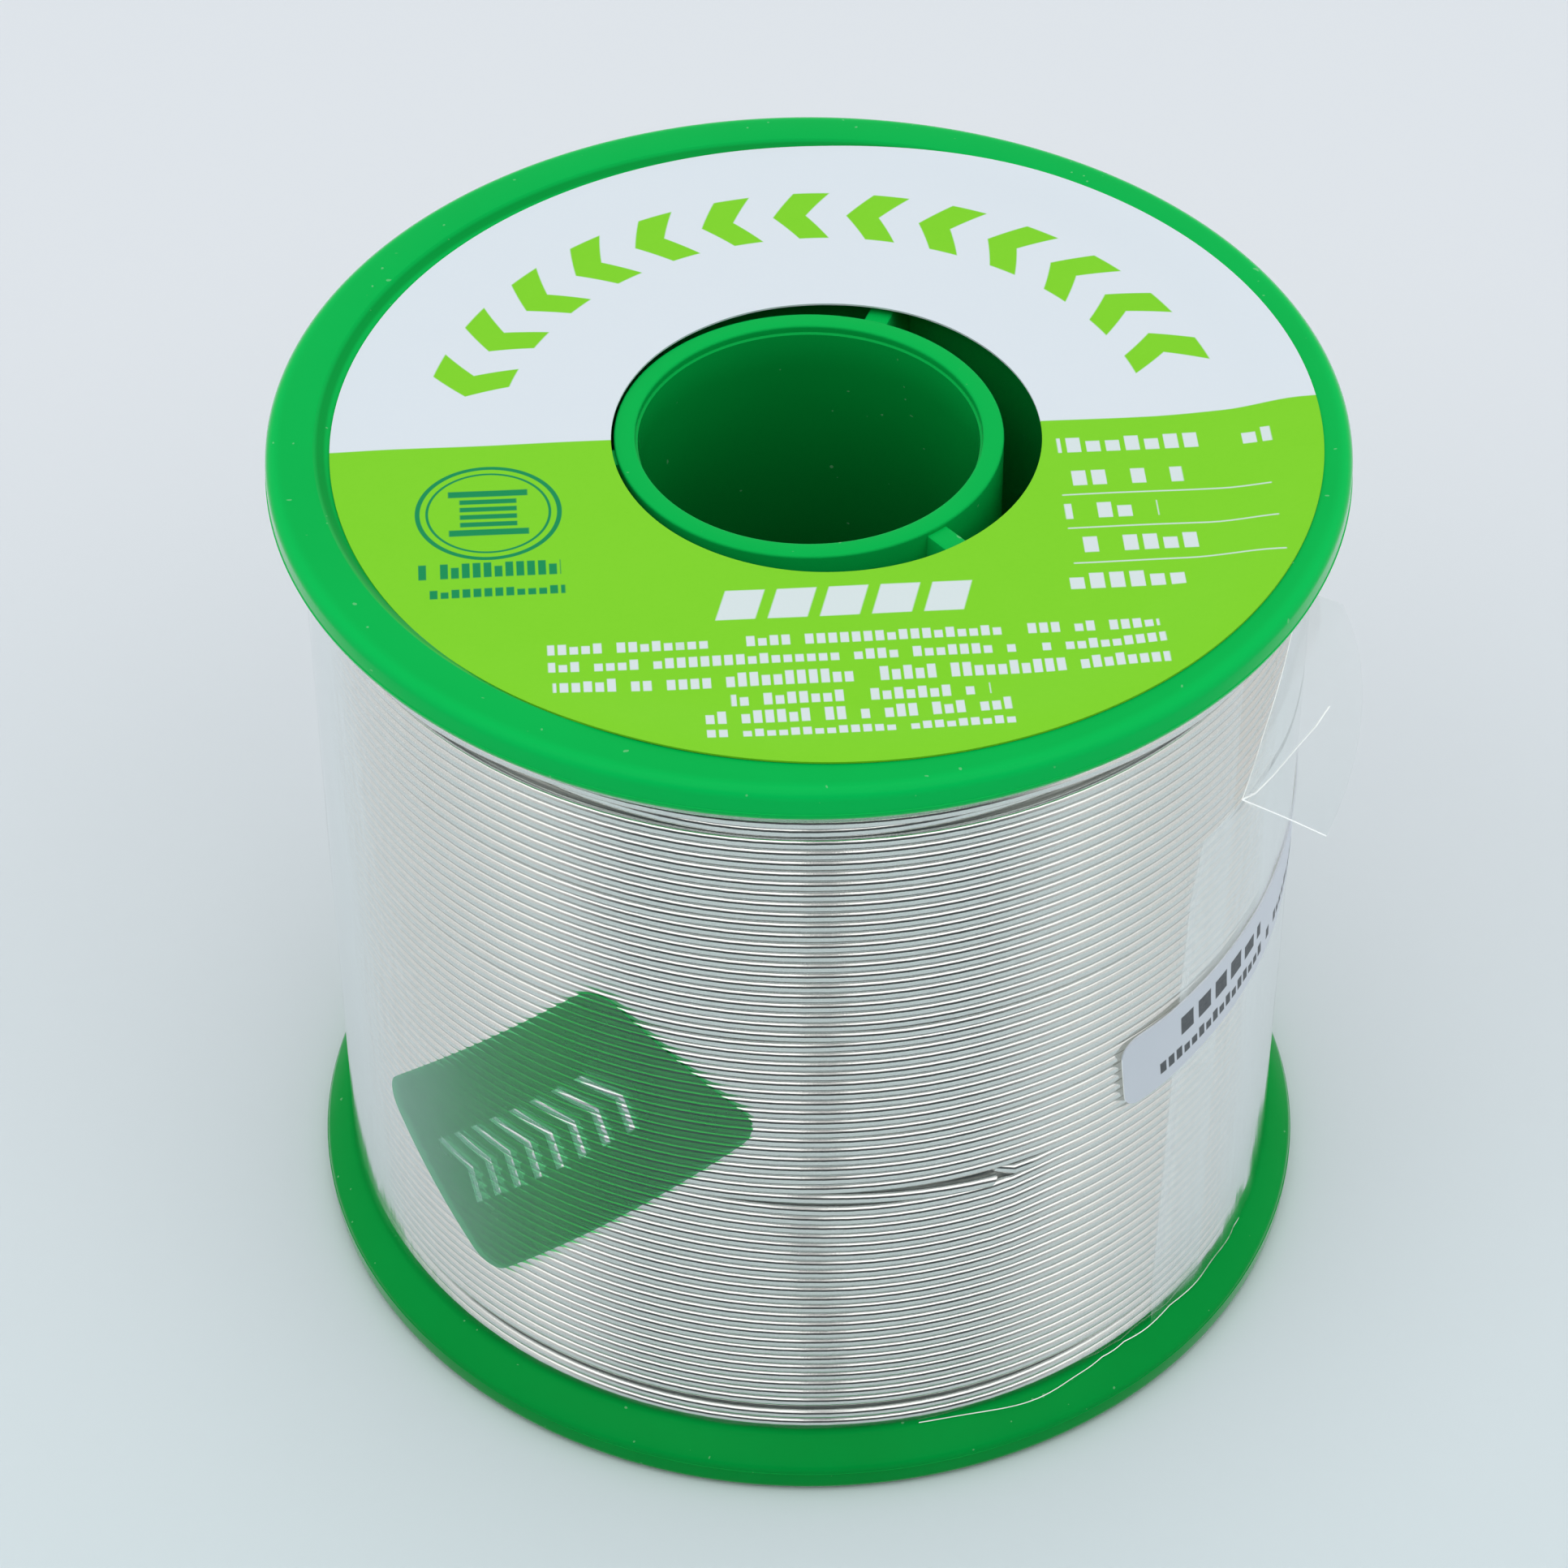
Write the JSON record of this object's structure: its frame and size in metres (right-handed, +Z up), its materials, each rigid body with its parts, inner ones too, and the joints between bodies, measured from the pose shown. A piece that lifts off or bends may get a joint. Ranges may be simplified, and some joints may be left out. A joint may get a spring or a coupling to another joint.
{
  "type": "solder wire spool",
  "caption": "Upright flanged plastic spool with a through bore, wound full of solder wire, wrapped in clear film, with a round paper label and two stickers.",
  "frame": {"origin": "centre of the lower flange's outer face, on the bore's axis", "axes": "+Z up the bore's axis, -Y towards the front, +X to the right"},
  "size_m": [0.0648, 0.064, 0.0595],
  "materials": {
    "spool_plastic": "glossy bright green moulded plastic, a little translucent",
    "label_paper": "coated paper, white above and lime green below, with white print",
    "solder": "bright drawn solder wire with a soft sheen",
    "clear_film": "thin clear glossy packing film",
    "green_film": "dark green translucent printed film",
    "white_paper": "matt white paper with dark grey print"
  },
  "bodies": {
    "root": {"lower_spool_half": "spool_plastic", "upper_spool_half": "spool_plastic", "end_label": "label_paper", "wire_inner_layers": "solder", "wire_outer_turns": "solder", "clear_film_wrap": "clear_film", "green_film_sticker": "green_film", "white_paper_sticker": "white_paper"}
  },
  "joints": []
}
